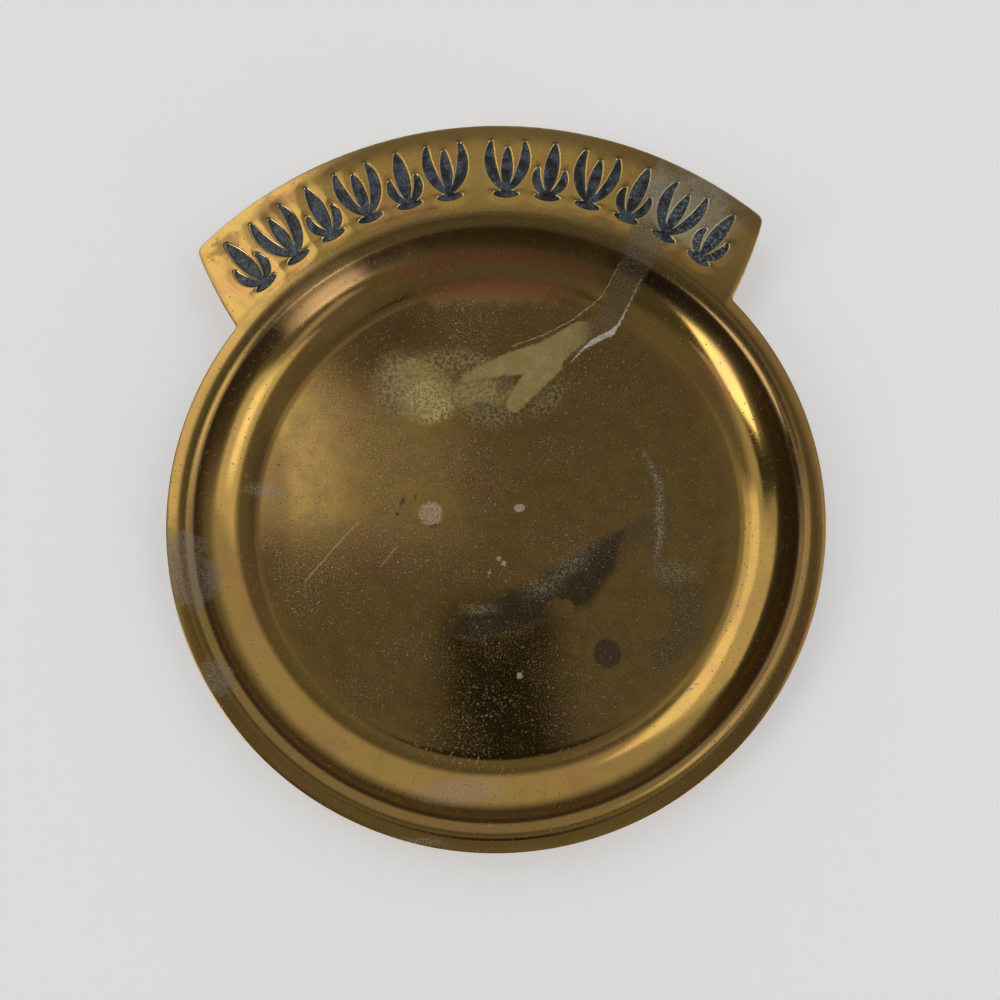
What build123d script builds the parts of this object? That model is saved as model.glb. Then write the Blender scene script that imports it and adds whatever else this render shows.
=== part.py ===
from build123d import *
import os
from math import cos, radians, sin, tan

# A shallow round coin tray, pressed from one sheet of brass. A flat band stands out beyond the rim
# at the back, and carries a row of punched leaf ornament, each mark filled with dark enamel.
# Sizes are in millimetres and angles in degrees. The origin is the centre of the dish's flat
# underside, +Z is up, and +Y points from the dish's axis to the middle of the band.

# The sheet, and the rounding of its cut edge as a share of its thickness.
sheet = 1.0
edge_round_share = 0.3

# The rim and the dish, from the edge inwards. Each bend has the radius of its inside, and each
# slope is the angle at which a bend hands over to the next. The flange is flat, the shoulder rolls
# over, the crease tips it into the wall, and the cove sweeps the wall out into the floor.
rim_radius = 70.0
flange_width = 2.3
shoulder_radius = 3.4
shoulder_slope = 45.0
crease_radius = 0.5
wall_slope = 60.0
wall_height = 0.6
cove_radius = 13.8

# The band. Its height is measured outwards from the rim, and its ends lean in towards the dish.
band_height = 19.3
band_half_angle = 46.0
band_end_tilt = 25.9
band_corner_radius = 2.5
band_notch_radius = 1.0

# The row of ornament, a lotus and bud frieze: as many marks on each side of the middle, open
# flowers and closed buds by turns.
marks_per_side = 6
middle_gap_angle = 10.2
mark_gap = 1.5
inner_margin = 1.2
outer_margin = 3.5

# The leaves of a mark spring from one root in its foot. For each leaf: how far out its tip is, of
# half the mark's width, how far up, of the height over the root, its bow, of its own length, and
# its half-width, of the mark's width. A leaf that stands off the middle has a twin.
lotus_leaf_shares = [(0.0, 0.88, 0.0, 0.135), (0.84, 1.0, 0.14, 0.13)]
bud_leaf_shares = [(0.0, 1.0, 0.0, 0.17), (0.66, 0.52, 0.2, 0.1)]
foot_length_share = 0.7
foot_half_width_share = 0.1
root_share = 0.5

# How a mark is punched: the punch drives the sheet down, so each recess has a low pad behind it.
recess_depth = 0.6
pad_height = 0.45
pad_margin = 0.35
enamel_depth = 0.3
enamel_clearance = 0.04

quarter_turn = 90.0
whole_turn = 360.0

# The section's run outwards and its rise, bend by bend, from the floor to the flange.
wall_sin, wall_cos = sin(radians(wall_slope)), cos(radians(wall_slope))
shoulder_sin, shoulder_cos = sin(radians(shoulder_slope)), cos(radians(shoulder_slope))
wall_run = wall_height / tan(radians(wall_slope))
crease_run = (crease_radius + sheet) * (wall_sin - shoulder_sin)
crease_rise = (crease_radius + sheet) * (shoulder_cos - wall_cos)
shoulder_run = (shoulder_radius + sheet) * shoulder_sin
shoulder_rise = (shoulder_radius + sheet) * (1 - shoulder_cos)
cove_run = cove_radius * wall_sin
cove_rise = cove_radius * (1 - wall_cos)

# Radii and heights that follow.
flange_start = rim_radius - flange_width
floor_radius = flange_start - shoulder_run - crease_run - wall_run - cove_run
rim_top = sheet + cove_rise + wall_height + crease_rise + shoulder_rise
rim_under = rim_top - sheet
band_radius = rim_radius + band_height
mark_height = band_height - inner_margin - outer_margin
mark_radius = rim_radius + inner_margin + mark_height / 2
mark_pitch_angle = (2 * band_half_angle - middle_gap_angle) / (2 * marks_per_side - 1)
mark_width = mark_radius * radians(mark_pitch_angle) - mark_gap
recess_floor = rim_top - recess_depth


def toward(angle):
    """The unit direction at an angle in the section's plane or in the plan."""
    return Vector(cos(radians(angle)), sin(radians(angle)))


def sheet_line(drop):
    """The dish's section from its axis to the flange, a distance drop below the sheet's top face."""
    shoulder_centre = Vector(flange_start, rim_under - shoulder_radius)
    crease_centre = shoulder_centre + toward(quarter_turn + shoulder_slope) * (shoulder_radius - crease_radius)
    cove_centre = Vector(floor_radius, sheet + cove_radius)
    wall_foot = cove_centre + toward(wall_slope - quarter_turn) * (cove_radius + drop)
    wall_head = crease_centre + toward(quarter_turn + wall_slope) * (crease_radius + sheet - drop)
    floor = Line((0, sheet - drop), (floor_radius, sheet - drop))
    cove = CenterArc(cove_centre, cove_radius + drop, -quarter_turn, wall_slope)
    wall = Line(wall_foot, wall_head)
    crease = CenterArc(
        crease_centre, crease_radius + sheet - drop, quarter_turn + wall_slope, shoulder_slope - wall_slope
    )
    shoulder = CenterArc(
        shoulder_centre, shoulder_radius + sheet - drop, quarter_turn + shoulder_slope, -shoulder_slope
    )
    return floor + cove + wall + crease + shoulder


def dish():
    """The round dish inside its flange: a strip of even thickness, turned once about the axis."""
    axis_edge = Line((0, sheet), (0, 0))
    flange_edge = Line((flange_start, rim_top), (flange_start, rim_under))
    section = make_face(Plane.XZ * (sheet_line(0) + sheet_line(sheet) + axis_edge + flange_edge))
    return revolve(section, Axis.Z, whole_turn)


def band_outline():
    """The band as a plain face: an arc at the back, two ends that lean in, and a root in the dish."""
    right_corner = toward(quarter_turn - band_half_angle) * band_radius
    left_corner = toward(quarter_turn + band_half_angle) * band_radius
    inward = band_height + rim_radius
    right_root = right_corner - toward(quarter_turn - band_end_tilt) * inward
    left_root = left_corner - toward(quarter_turn + band_end_tilt) * inward
    back = ThreePointArc(left_corner, (0, band_radius), right_corner)
    ends = Line(right_corner, right_root) + Line(left_root, left_corner)
    return make_face(back + ends + Line(right_root, left_root))


def flange_and_band():
    """The flat border of the tray: the flange and the band in one outline, with its edge rounded."""
    outline = Circle(rim_radius) + band_outline()
    halfway = rim_radius + band_height / 2
    back_points = [v for v in outline.vertices() if v.Y > rim_radius / 2]
    corners = [v for v in back_points if Vector(*v).length > halfway]
    outline = fillet(corners, band_corner_radius)
    back_points = [v for v in outline.vertices() if v.Y > rim_radius / 2]
    notches = [v for v in back_points if Vector(*v).length < rim_radius + band_height / 4]
    outline = fillet(notches, band_notch_radius) - Circle(flange_start)
    border = Pos(0, 0, rim_under) * extrude(outline, sheet)
    faces = border.faces().sort_by(Axis.Z)
    cut_edges = faces[0].outer_wire().edges() + faces[-1].outer_wire().edges()
    return fillet(cut_edges, sheet * edge_round_share)


def leaf(root, tip, bow, half_width, grow):
    """A pointed leaf between two arcs, from root to tip, with its edge moved out by grow."""
    along = (tip - root).normalized()
    across = Vector(along.Y, -along.X)
    start, end = root - along * grow, tip + along * grow
    middle = (start + end) / 2
    left_side = ThreePointArc(start, middle + across * (bow - half_width - grow), end)
    right_side = ThreePointArc(end, middle + across * (bow + half_width + grow), start)
    return make_face(left_side + right_side)


def mark_face(leaf_shares, grow):
    """A whole mark as one face about its own centre, upright, with its edge moved out by grow."""
    foot_half_length = mark_width * foot_length_share / 2
    foot_half_width = mark_width * foot_half_width_share
    foot_level = foot_half_width - mark_height / 2
    foot_start, foot_end = Vector(-foot_half_length, foot_level), Vector(foot_half_length, foot_level)
    root = Vector(0, foot_level + foot_half_width * root_share)
    rise = mark_height / 2 - root.Y
    face = leaf(foot_start, foot_end, 0, foot_half_width, grow)
    for out_share, up_share, bow_share, half_width_share in leaf_shares:
        for side in (-1, 1) if out_share else (1,):
            tip = root + Vector(side * out_share * mark_width / 2, up_share * rise)
            bow = side * bow_share * (tip - root).length
            face += leaf(root, tip, bow, half_width_share * mark_width, grow)
    return face


def mark_places():
    """The name, leaves and place of each mark along the row, from its left end to its right end."""
    places = []
    for side in (-1, 1):
        for step in range(marks_per_side):
            angle = side * (middle_gap_angle / 2 + step * mark_pitch_angle)
            name, shares = ("bud", bud_leaf_shares) if step % 2 else ("lotus", lotus_leaf_shares)
            places.append((angle, name, shares))
    places.sort(key=lambda place: place[0])
    return [(name, shares, Rot(0, 0, -angle) * Pos(0, mark_radius)) for angle, name, shares in places]


def tray():
    """The whole pressing: dish, flange and band, with its pads raised and its recesses sunk."""
    body = dish() + flange_and_band()
    for _, leaf_shares, place in mark_places():
        pad = extrude(mark_face(leaf_shares, pad_margin), pad_height + sheet / 2)
        body += Pos(0, 0, rim_under - pad_height) * place * pad
    for _, leaf_shares, place in mark_places():
        recess = extrude(mark_face(leaf_shares, 0), recess_depth)
        body -= Pos(0, 0, recess_floor) * place * recess
    return body


def inlays():
    """The enamel in each recess, by name. It lies on the recess's floor, a little below the band."""
    pieces = {}
    for number, (name, leaf_shares, place) in enumerate(mark_places(), 1):
        fill = extrude(mark_face(leaf_shares, -enamel_clearance), enamel_depth)
        pieces[f"{name}_inlay_{number}"] = Pos(0, 0, recess_floor) * place * fill
    return pieces


os.makedirs("parts", exist_ok=True)
export_step(tray(), "parts/brass_tray.step")
for node, inlay in inlays().items():
    export_step(inlay, f"parts/{node}.step")
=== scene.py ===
# %% [markdown]
# A lesson in dressing a pressed brass coin tray. The real tray is one sheet of brass: a round dish
# with a flat rim, and an arched band that carries a row of punched and enamelled ornament. The
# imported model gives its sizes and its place, so it is loaded first, and nothing below moves it.

# %% The frame
import math

import bmesh
import bpy
import numpy as np
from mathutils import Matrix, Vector


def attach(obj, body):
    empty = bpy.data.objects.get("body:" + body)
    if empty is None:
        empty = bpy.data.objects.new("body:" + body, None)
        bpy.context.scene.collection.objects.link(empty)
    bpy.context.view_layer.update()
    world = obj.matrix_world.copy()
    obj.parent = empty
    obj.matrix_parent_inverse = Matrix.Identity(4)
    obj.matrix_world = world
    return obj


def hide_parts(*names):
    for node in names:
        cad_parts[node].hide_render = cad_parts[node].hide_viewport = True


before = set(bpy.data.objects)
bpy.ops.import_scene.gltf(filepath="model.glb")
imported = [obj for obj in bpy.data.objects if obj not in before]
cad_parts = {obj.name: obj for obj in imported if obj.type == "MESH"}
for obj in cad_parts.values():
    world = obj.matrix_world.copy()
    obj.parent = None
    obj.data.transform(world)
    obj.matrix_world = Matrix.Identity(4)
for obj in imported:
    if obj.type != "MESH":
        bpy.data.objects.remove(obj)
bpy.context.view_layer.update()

MM = 0.001

# %% [markdown]
# Shader and geometry formulas are easier to read as formulas than as lists of nodes. A small class
# wraps a socket: sums on it add Math nodes, and its node method adds a node of any other kind.

# %% Formulas on sockets
class Wire:
    """A socket of a node tree. Arithmetic on it adds Math nodes to its tree."""

    def __init__(self, tree, socket=None):
        self.tree, self.socket = tree, socket

    def node(self, kind, values=(), settings=(), out=0):
        """Adds a node: its settings, then the values or links of its sockets. Gives one output."""
        made = self.tree.nodes.new(kind)
        for name, setting in dict(settings).items():
            setattr(made, name, setting)
        for key, value in dict(values).items():
            if isinstance(value, Wire):
                self.tree.links.new(value.socket, made.inputs[key])
            else:
                made.inputs[key].default_value = value
        return Wire(self.tree, made.outputs[out] if made.outputs else None)

    def math(self, operation, *values):
        return self.node("ShaderNodeMath", enumerate(values), {"operation": operation})

    def vector(self, operation, *values, out=0):
        return self.node("ShaderNodeVectorMath", enumerate(values), {"operation": operation}, out)

    def __add__(self, other):
        return self.math("ADD", self, other)

    def __radd__(self, other):
        return self.math("ADD", other, self)

    def __sub__(self, other):
        return self.math("SUBTRACT", self, other)

    def __rsub__(self, other):
        return self.math("SUBTRACT", other, self)

    def __mul__(self, other):
        return self.math("MULTIPLY", self, other)

    def __rmul__(self, other):
        return self.math("MULTIPLY", other, self)

    def __truediv__(self, other):
        return self.math("DIVIDE", self, other)

    def __pow__(self, other):
        return self.math("POWER", self, other)

    def clamp(self, low=0.0, high=1.0):
        return self.math("MINIMUM", self.math("MAXIMUM", self, low), high)

    def ramp(self, low, high):
        """0 up to low, 1 from high on, and smooth between; high may also be the lower number."""
        values = {0: self, 1: low, 2: high, 3: 0.0, 4: 1.0}
        return self.node("ShaderNodeMapRange", values, {"interpolation_type": "SMOOTHSTEP"})


# %% [markdown]
# The camera looks down on the tray from a little in front, as the photograph does. Its place comes
# from a camera model fitted to the tray's round rim.

# %% Camera
camera_data = bpy.data.cameras.new("camera")
camera_data.lens = 30.6
camera = bpy.data.objects.new("camera", camera_data)
bpy.context.scene.collection.objects.link(camera)
camera.location = (0.0022, -0.0322, 0.18751)
camera.rotation_euler = (0.1840, 0.0150, -0.05323)
bpy.context.scene.camera = camera
bpy.context.scene.view_settings.view_transform = "Standard"

# %% [markdown]
# Polished brass shows the room more than itself. This room has pale far walls, a dark patch
# overhead, a dark near side and four windows. It is drawn on a flat chart of the sky: straight up
# is the chart's middle, and a point's distance from there is its tilt from straight up in degrees.
# Each window, wall or screen is then a soft-edged pane on the chart. The camera sees plain white.

# %% Room light
room = bpy.data.worlds.new("room")
room.use_nodes = True
bpy.context.scene.world = room
room.node_tree.nodes.clear()
sky = Wire(room.node_tree)
way = sky.node("ShaderNodeTexCoord", out="Generated")
apart = sky.node("ShaderNodeSeparateXYZ", {0: way})
x, y, z = (Wire(sky.tree, output) for output in apart.socket.node.outputs)
tilt = sky.math("ARCCOSINE", z.clamp(-1.0, 1.0)) * math.degrees(1)
stretch = tilt / sky.math("MAXIMUM", (x * x + y * y) ** 0.5, 1e-4)
east, north = x * stretch, y * stretch


def pane(across, up, half_width, half_height, turn, side_soft, end_soft):
    """1 on a pane of the chart and 0 off it, in degrees; turn is counter-clockwise."""
    c, s = math.cos(math.radians(turn)), math.sin(math.radians(turn))
    u = sky.math("ABSOLUTE", (east - across) * c + (north - up) * s)
    v = sky.math("ABSOLUTE", (north - up) * c - (east - across) * s)
    sides = u.ramp(half_width + side_soft, half_width - side_soft)
    return sides * v.ramp(half_height + end_soft, half_height - end_soft)


def cover(share, strength):
    """Brings the room's level to another strength, as far as the share says."""
    global level
    level = level + share * (strength - level)


near_wall, wall_rise, below_horizon, backdrop, room_scale = 0.13, 0.31, 0.4, 0.95, 1.2
level = near_wall + north.ramp(-14.0, 8.0) * wall_rise
overhead = tilt.ramp(34.0, 23.5)
cover(overhead, 0.155 - north.ramp(9.0, 23.0) * 0.03)
low_left = tilt.ramp(66.0, 71.0) * east.ramp(-40.0, -50.0) * north.ramp(-22.0, -16.0)
cover(low_left, 0.04)
panes = [  # name, across, up, half width, half height, turn, softness of sides and ends, strength
    ("dark room, front left", -36, -42, 22, 24, 0, 6, 6, 0.08),
    ("dark wall, left", -66, 5, 22, 7, 0, 3, 1.5, 0.05),
    ("pale screen, upper left", -41, 33, 16, 18, -18, 2, 3, 0.66),
    ("wall beside the window", -9, 13, 6, 5, 0, 2.5, 1.5, 0.32),
    ("window, upper left", -22, 27, 8.5, 15, -6, 2.5, 3, 1.25),
    ("window sill, upper left", -22, 14.6, 11, 5.4, 0, 2.5, 1.2, 0.76),
    ("window sill, bright end", -28, 16, 7, 6.6, 0, 2, 1.2, 1.1),
    ("window, left", -54.5, -19, 9, 15.5, -19, 2, 2, 2.4),
    ("door strip, left", -38.5, -2, 4, 14, 0, 2.5, 2, 0.5),
    ("pale screen, right", 47, -7, 18, 17, -10, 3, 3, 0.74),
    ("window, right", 43.5, -8, 6, 10, -8, 4, 4, 1.6),
    ("window, front right", 48.5, -60.5, 11, 15, 38, 2, 2, 2.2),
    ("door strip, front right", 34, -31, 4, 12, -25, 2.5, 2, 0.4),
    ("brown near wall", -1, -42, 17, 19, 0, 8, 6, 0.2),
    ("near side, low", -4, -80, 32, 20, 0, 8, 8, 0.025),
    ("dark patch overhead", -0.8, -3.0, 3.8, 6.6, 0, 0.7, 1.0, 0.012),
]
for name, *shape, strength in panes:
    cover(pane(*shape), strength)
cover(tilt.ramp(86.0, 96.0), below_horizon)
seen = sky.node("ShaderNodeLightPath", out="Is Camera Ray")
level = level * room_scale
cover(seen, backdrop)
grey = sky.node("ShaderNodeCombineColor", {0: level, 1: level, 2: level})
light = sky.node("ShaderNodeBackground", {0: grey, 1: 1.0})
sky.node("ShaderNodeOutputWorld", {0: light})
print("panes on the room's chart:", len(panes))

# %% [markdown]
# The floor is a plain pale table. It takes the tray's shadow, and rays that the camera or a
# mirror sends get a little of its own colour on top, so it stays pale without more light on the
# brass.

# %% Table
def plain_material(name):
    made = bpy.data.materials.new(name)
    made.use_nodes = True
    made.node_tree.nodes.clear()
    return made


table_material = plain_material("pale_table")
pen = Wire(table_material.node_tree)
path = pen.node("ShaderNodeLightPath", out="Is Camera Ray")
mirror = Wire(pen.tree, path.socket.node.outputs["Is Glossy Ray"])
through = Wire(pen.tree, path.socket.node.outputs["Is Transmission Ray"])
direct = (path + mirror + through).clamp()
matt = {"Base Color": (0.78, 0.78, 0.775, 1), "Roughness": 0.7}
body = pen.node("ShaderNodeBsdfPrincipled", matt)
glow = pen.node("ShaderNodeEmission", {0: (0.98, 0.98, 0.97, 1), 1: 0.33})
sum_ = pen.node("ShaderNodeAddShader", {0: body, 1: glow})
mixed = pen.node("ShaderNodeMixShader", {0: direct, 1: body, 2: sum_})
pen.node("ShaderNodeOutputMaterial", {0: mixed})

table_mesh = bpy.data.meshes.new("table")
half_table = 3.0
corners = [(half_table * x, half_table * y, 0) for x, y in ((-1, -1), (1, -1), (1, 1), (-1, 1))]
table_mesh.from_pydata(corners, [], [(0, 1, 2, 3)])
table_mesh.materials.append(table_material)
table = bpy.data.objects.new("table", table_mesh)
bpy.context.scene.collection.objects.link(table)

# %% [markdown]
# The tray's driving sizes, in millimetres and degrees. They are the ones its solids were made with:
# the sheet is bent over a shoulder, tipped at a crease into a short steep wall, and swept by the
# cove into the floor.

# %% Sizes of the pressing
sheet = 1.0
rim_radius = 70.0
flange_start = 67.7
shoulder_radius, shoulder_slope = 3.4, 45.0
crease_radius, wall_slope, wall_height = 0.5, 60.0, 0.6
cove_radius = 13.8
band_height, band_half_angle, band_end_tilt = 19.3, 46.0, 25.9
corner_radius, notch_radius, edge_round, edge_wear = 2.5, 1.0, 0.3, 0.02
band_radius = rim_radius + band_height


def sine(angle):
    return math.sin(math.radians(angle))


def cosine(angle):
    return math.cos(math.radians(angle))


wall_run = wall_height * cosine(wall_slope) / sine(wall_slope)
crease_centre = flange_start - (shoulder_radius - crease_radius) * sine(shoulder_slope)
wall_top_radius = crease_centre - (crease_radius + sheet) * sine(wall_slope)
floor_radius = wall_top_radius - wall_run - cove_radius * sine(wall_slope)
rim_top = sheet + cove_radius * (1 - cosine(wall_slope)) + wall_height
rim_top += (crease_radius + sheet) * (cosine(shoulder_slope) - cosine(wall_slope))
rim_top += (shoulder_radius + sheet) * (1 - cosine(shoulder_slope))
print("floor radius", round(floor_radius, 3), "rim top", round(rim_top, 3))


# %% [markdown]
# The blank is the flat sheet before the press. Its outline is the rim's circle and the band's arch
# with rounded corners, worked out as how far the edge lies from the axis in each direction.

# %% The blank's outline
def bearing(angle):
    """A unit direction in the plan, clockwise from the middle of the band, in radians."""
    return np.array([np.sin(angle), np.cos(angle)])


def arc_points(centre, radius, start, end, count):
    turn = np.arctan2(*(start - centre)), np.arctan2(*(end - centre))
    return [centre + radius * bearing(a) for a in np.linspace(*turn, count)]


def offset_centre(corner, along, inward, offset, distance, guess):
    """The point that is offset from the band's end line and a distance from the axis."""
    base = corner + inward * offset
    half = base @ along
    root = math.sqrt(half**2 - base @ base + distance**2)
    steps = (-half + root, -half - root)
    return base + along * min(steps, key=lambda step: abs(step - guess))


back_count, corner_count, notch_count, rim_count = 200, 30, 16, 300


def half_outline():
    """The right half of the outline, from the middle of the band to the front of the rim."""
    along = bearing(math.radians(band_end_tilt))
    inward = np.array([-along[1], along[0]])
    corner = band_radius * bearing(math.radians(band_half_angle))
    round_reach, notch_reach = band_radius - corner_radius, rim_radius + notch_radius
    round_centre = offset_centre(corner, along, inward, corner_radius, round_reach, 0)
    notch_centre = offset_centre(corner, along, -inward, notch_radius, notch_reach, -band_height)
    on_back = round_centre / np.linalg.norm(round_centre) * band_radius
    on_rim = notch_centre / np.linalg.norm(notch_centre) * rim_radius
    origin = np.zeros(2)
    off_round = round_centre - inward * corner_radius
    off_notch = notch_centre + inward * notch_radius
    points = arc_points(origin, band_radius, np.array([0, band_radius]), on_back, back_count)
    points += arc_points(round_centre, corner_radius, on_back, off_round, corner_count)
    points += arc_points(notch_centre, notch_radius, off_notch, on_rim, notch_count)
    points += arc_points(origin, rim_radius, on_rim, np.array([1e-9, -rim_radius]), rim_count)
    return np.array(points)


half = half_outline()
half_angles = np.arctan2(half[:, 0], half[:, 1])
half_radii = np.linalg.norm(half, axis=1)
print("outline rises steadily round the half turn:", bool((np.diff(half_angles) > -1e-9).all()))


def edge_radius(angles):
    """How far the blank's edge lies from the axis, for angles from the middle of the band."""
    folded = np.abs((angles + np.pi) % (2 * np.pi) - np.pi)
    return np.interp(folded, half_angles, half_radii)


# %% [markdown]
# The blank's faces are a net of rings and spokes. The band gets a fine net, because the punch has
# to draw small leaves in it, and the rest a coarser one. Where two nets with different counts meet,
# a strip of triangles zips them together, so that the sheet stays one closed skin.

# %% Nets and zips
far_inside = 99.0


class Skin:
    """Points with a depth below the sheet's top face and a distance from its edge, and faces."""

    def __init__(self):
        self.points, self.drops, self.edges, self.faces = [], [], [], []

    def add(self, points, drop, edge=far_inside):
        start = len(self.points)
        self.points += [tuple(p) for p in points]
        self.drops += list(np.broadcast_to(drop, len(points)))
        self.edges += list(np.broadcast_to(edge, len(points)))
        return list(range(start, len(self.points)))

    def net(self, rows, closed=False):
        """Quads between each row of indices and the next."""
        for near, far in zip(rows, rows[1:]):
            if closed:
                near, far = near + near[:1], far + far[:1]
            self.faces += list(zip(near, near[1:], far[1:], far))

    def zip(self, near, far, near_keys, far_keys):
        """Triangles between two rows with different counts, by where their points fall."""
        i = j = 0
        while i < len(near) - 1 or j < len(far) - 1:
            if j == len(far) - 1 or (i < len(near) - 1 and near_keys[i + 1] <= far_keys[j + 1]):
                self.faces.append((near[i], near[i + 1], far[j]))
                i += 1
            else:
                self.faces.append((near[i], far[j + 1], far[j]))
                j += 1


def around(angles, radii):
    return np.stack([radii * np.sin(angles), radii * np.cos(angles)], 1)


fine_half_angle = math.radians(53.0)


def section_radii(drop, floor_rows, cove_rows, crease_rows, shoulder_rows):
    """Where the rings lie, from the middle of the floor to just inside the flange."""
    cove = cove_radius + drop
    crease = crease_radius + sheet - drop
    shoulder = shoulder_radius + sheet - drop
    radii = list(np.linspace(0, floor_radius, floor_rows + 1)[1:])
    radii += [floor_radius + cove * sine(s) for s in np.linspace(0, wall_slope, cove_rows + 1)[1:]]
    creases = np.linspace(wall_slope, shoulder_slope, crease_rows + 1)
    radii += [crease_centre - crease * sine(s) for s in creases]
    shoulders = np.linspace(shoulder_slope, 0, shoulder_rows + 1)[1:-1]
    return radii + [flange_start - shoulder * sine(s) for s in shoulders]


def face_of_blank(
    skin, drop, dish_columns, rows, fine_columns, fine_rows, coarse_columns, coarse_rows
):
    """One face of the sheet: dish, flange and band. Gives its outer ring, angles and outline."""
    dish_angles = np.arange(dish_columns) * 2 * np.pi / dish_columns
    rings = [skin.add(around(dish_angles, r), drop) for r in section_radii(drop, *rows)]
    centre = skin.add([(0, 0)], drop)[0]
    skin.faces += [(centre, a, b) for a, b in zip(rings[0], rings[0][1:] + rings[0][:1])]
    skin.net(rings, closed=True)

    fine = np.linspace(-fine_half_angle, fine_half_angle, fine_columns)
    coarse = np.linspace(fine_half_angle, 2 * np.pi - fine_half_angle, coarse_columns + 2)[1:-1]
    loop = np.concatenate([fine, coarse])
    outline = around(loop, edge_radius(loop) - edge_wear)
    along = np.roll(outline, -1, 0) - np.roll(outline, 1, 0)
    outward = np.stack([-along[:, 1], along[:, 0]], 1) / np.linalg.norm(along, axis=1)[:, None]
    rim = outline - outward * edge_round
    inner = around(loop, flange_start)
    length = np.linalg.norm(outline - inner, axis=1)

    def border(first, last, count):
        shares = np.linspace(0, 1, count + 1)
        spans = [inner[first:last] + (rim - inner)[first:last] * share for share in shares]
        depths = [length[first:last] * (1 - share) for share in shares]
        return [skin.add(points, drop, edge) for points, edge in zip(spans, depths)]

    fine_net = border(0, len(fine), fine_rows)
    coarse_net = border(len(fine), len(loop), coarse_rows)
    skin.net(fine_net)
    skin.net(coarse_net)
    fine_keys, coarse_keys = np.linspace(0, 1, fine_rows + 1), np.linspace(0, 1, coarse_rows + 1)
    skin.zip([row[-1] for row in fine_net], [row[0] for row in coarse_net], fine_keys, coarse_keys)
    skin.zip([row[0] for row in fine_net], [row[-1] for row in coarse_net], fine_keys, coarse_keys)
    start = int(np.argmin(np.abs(loop)))
    ring = fine_net[0] + coarse_net[0]
    ring = ring[start:] + ring[: start + 1]
    ring_keys = np.append(np.roll(loop % (2 * np.pi), -start), 2 * np.pi)
    ring_keys[0] = 0.0
    dish_keys = np.append(dish_angles, 2 * np.pi)
    skin.zip(rings[-1] + rings[-1][:1], ring, dish_keys, ring_keys)
    outer = fine_net[-1] + coarse_net[-1]
    outline, outward = np.roll(outline, -start, 0), np.roll(outward, -start, 0)
    return outer[start:] + outer[:start], ring_keys, outline, outward


blank = Skin()
top_ring, top_keys, outline, outward = face_of_blank(
    blank, 0.0, dish_columns=540, rows=(8, 20, 4, 12), fine_columns=561, fine_rows=76,
    coarse_columns=252, coarse_rows=3,
)
under_ring, under_keys, _, _ = face_of_blank(
    blank, sheet, dish_columns=180, rows=(6, 10, 3, 5), fine_columns=281, fine_rows=40,
    coarse_columns=126, coarse_rows=2,
)
edge_turns = (30, 60, 90)
rounding = [(edge_round * (1 - sine(turn)), edge_round * (1 - cosine(turn))) for turn in edge_turns]
down_the_edge = rounding + [(inset, sheet - drop) for inset, drop in reversed(rounding)]
edge_rows = [top_ring]
edge_rows += [blank.add(outline - outward * inset, drop, inset) for inset, drop in down_the_edge]
blank.net(edge_rows, closed=True)
blank.zip(edge_rows[-1] + edge_rows[-1][:1], under_ring + under_ring[:1], top_keys, under_keys)
print("blank:", len(blank.points), "points,", len(blank.faces), "faces")


# %% Blank as a mesh
def mesh_object(name, points, faces, scale=MM):
    mesh = bpy.data.meshes.new(name)
    mesh.from_pydata([tuple(c * scale for c in p) for p in points], [], faces)
    made = bpy.data.objects.new(name, mesh)
    bpy.context.scene.collection.objects.link(made)
    return made


def point_outwards(made):
    """Turns the faces of a closed skin outwards and smooths their shading."""
    skin = bmesh.new()
    skin.from_mesh(made.data)
    bmesh.ops.recalc_face_normals(skin, faces=skin.faces)
    skin.to_mesh(made.data)
    skin.free()
    made.data.polygons.foreach_set("use_smooth", [True] * len(made.data.polygons))


def store(made, name, values):
    layer = made.data.attributes.new(name, "FLOAT", "POINT")
    layer.data.foreach_set("value", np.array(values, np.float32))


blank_points = [(x, y, -drop) for (x, y), drop in zip(blank.points, blank.drops)]
tray = mesh_object("pressed_tray", blank_points, blank.faces)
point_outwards(tray)
store(tray, "drop", np.array(blank.drops) * MM)
store(tray, "edge", np.array(blank.edges) * MM)
upper = sum(face.normal.z > 0.5 for face in tray.data.polygons)
print("faces that look up:", upper, "of", len(tray.data.polygons))


# %% [markdown]
# The ornament is a lotus and bud frieze. Each mark is a few pointed leaves that spring from one
# foot, and a leaf is the space between two arcs. A signed distance says how far a point lies
# outside the mark, and a patch of small squares is trimmed to it: its border points are moved onto
# the outline.

# %% Leaves of a mark
marks_per_side, middle_gap_angle, mark_gap = 6, 10.2, 1.5
inner_margin, outer_margin = 1.2, 3.5
mark_height = band_height - inner_margin - outer_margin
mark_radius = rim_radius + inner_margin + mark_height / 2
mark_pitch = (2 * band_half_angle - middle_gap_angle) / (2 * marks_per_side - 1)
mark_width = mark_radius * math.radians(mark_pitch) - mark_gap
recess_depth, pad_height, pad_margin, enamel_depth = 0.6, 0.45, 0.35, 0.3
lotus_leaves = [(0.0, 0.88, 0.0, 0.135), (0.84, 1.0, 0.14, 0.13)]
bud_leaves = [(0.0, 1.0, 0.0, 0.17), (0.66, 0.52, 0.2, 0.1)]
foot_length_share, foot_half_width_share, root_share = 0.7, 0.1, 0.5
patch_pitch, reach_across, reach_up = 0.2, 0.62, 0.54


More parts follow.
